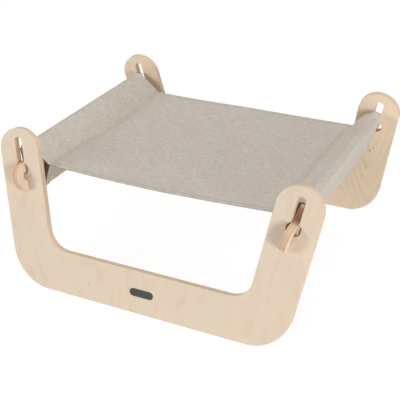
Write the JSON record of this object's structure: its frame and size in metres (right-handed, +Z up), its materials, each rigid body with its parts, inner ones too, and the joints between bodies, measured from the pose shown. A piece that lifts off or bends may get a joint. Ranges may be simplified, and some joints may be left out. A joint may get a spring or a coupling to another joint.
{
  "type": "cat hammock",
  "caption": "Floor-standing cat hammock: leaning U-shaped plywood frames, crossboards hooked into keyhole slots, and a sewn cloth panel slung between the boards in sleeves.",
  "frame": {"origin": "on the floor, midway between the two frames and midway across them", "axes": "+X across the hammock to the right, +Y from the front frame to the rear frame, +Z up from the floor"},
  "size_m": [0.4984, 0.4458, 0.236],
  "materials": {
    "birch_plywood": "sanded and clear-oiled birch plywood, matt",
    "linen_canvas": "grey-beige linen-look canvas",
    "dark_badge": "matt dark grey"
  },
  "bodies": {
    "hammock": {"left_crossboard": "birch_plywood", "right_crossboard": "birch_plywood", "left_sleeve": "linen_canvas", "right_sleeve": "linen_canvas", "hammock_panel": "linen_canvas", "front_hem": "linen_canvas", "rear_hem": "linen_canvas"},
    "front_stand": {"front_frame": "birch_plywood", "badge": "dark_badge"},
    "rear_stand": {"rear_frame": "birch_plywood"}
  },
  "joints": [
    {"name": "front_rock", "type": "hinge", "parent": "hammock", "child": "front_stand", "pos_m": [0, -0.18871, 0.16539], "axis": [1, 0, 0], "range_deg": [0, 10]},
    {"name": "rear_rock", "type": "hinge", "parent": "hammock", "child": "rear_stand", "pos_m": [0, 0.18871, 0.16539], "axis": [-1, 0, 0], "range_deg": [0, 10]}
  ]
}
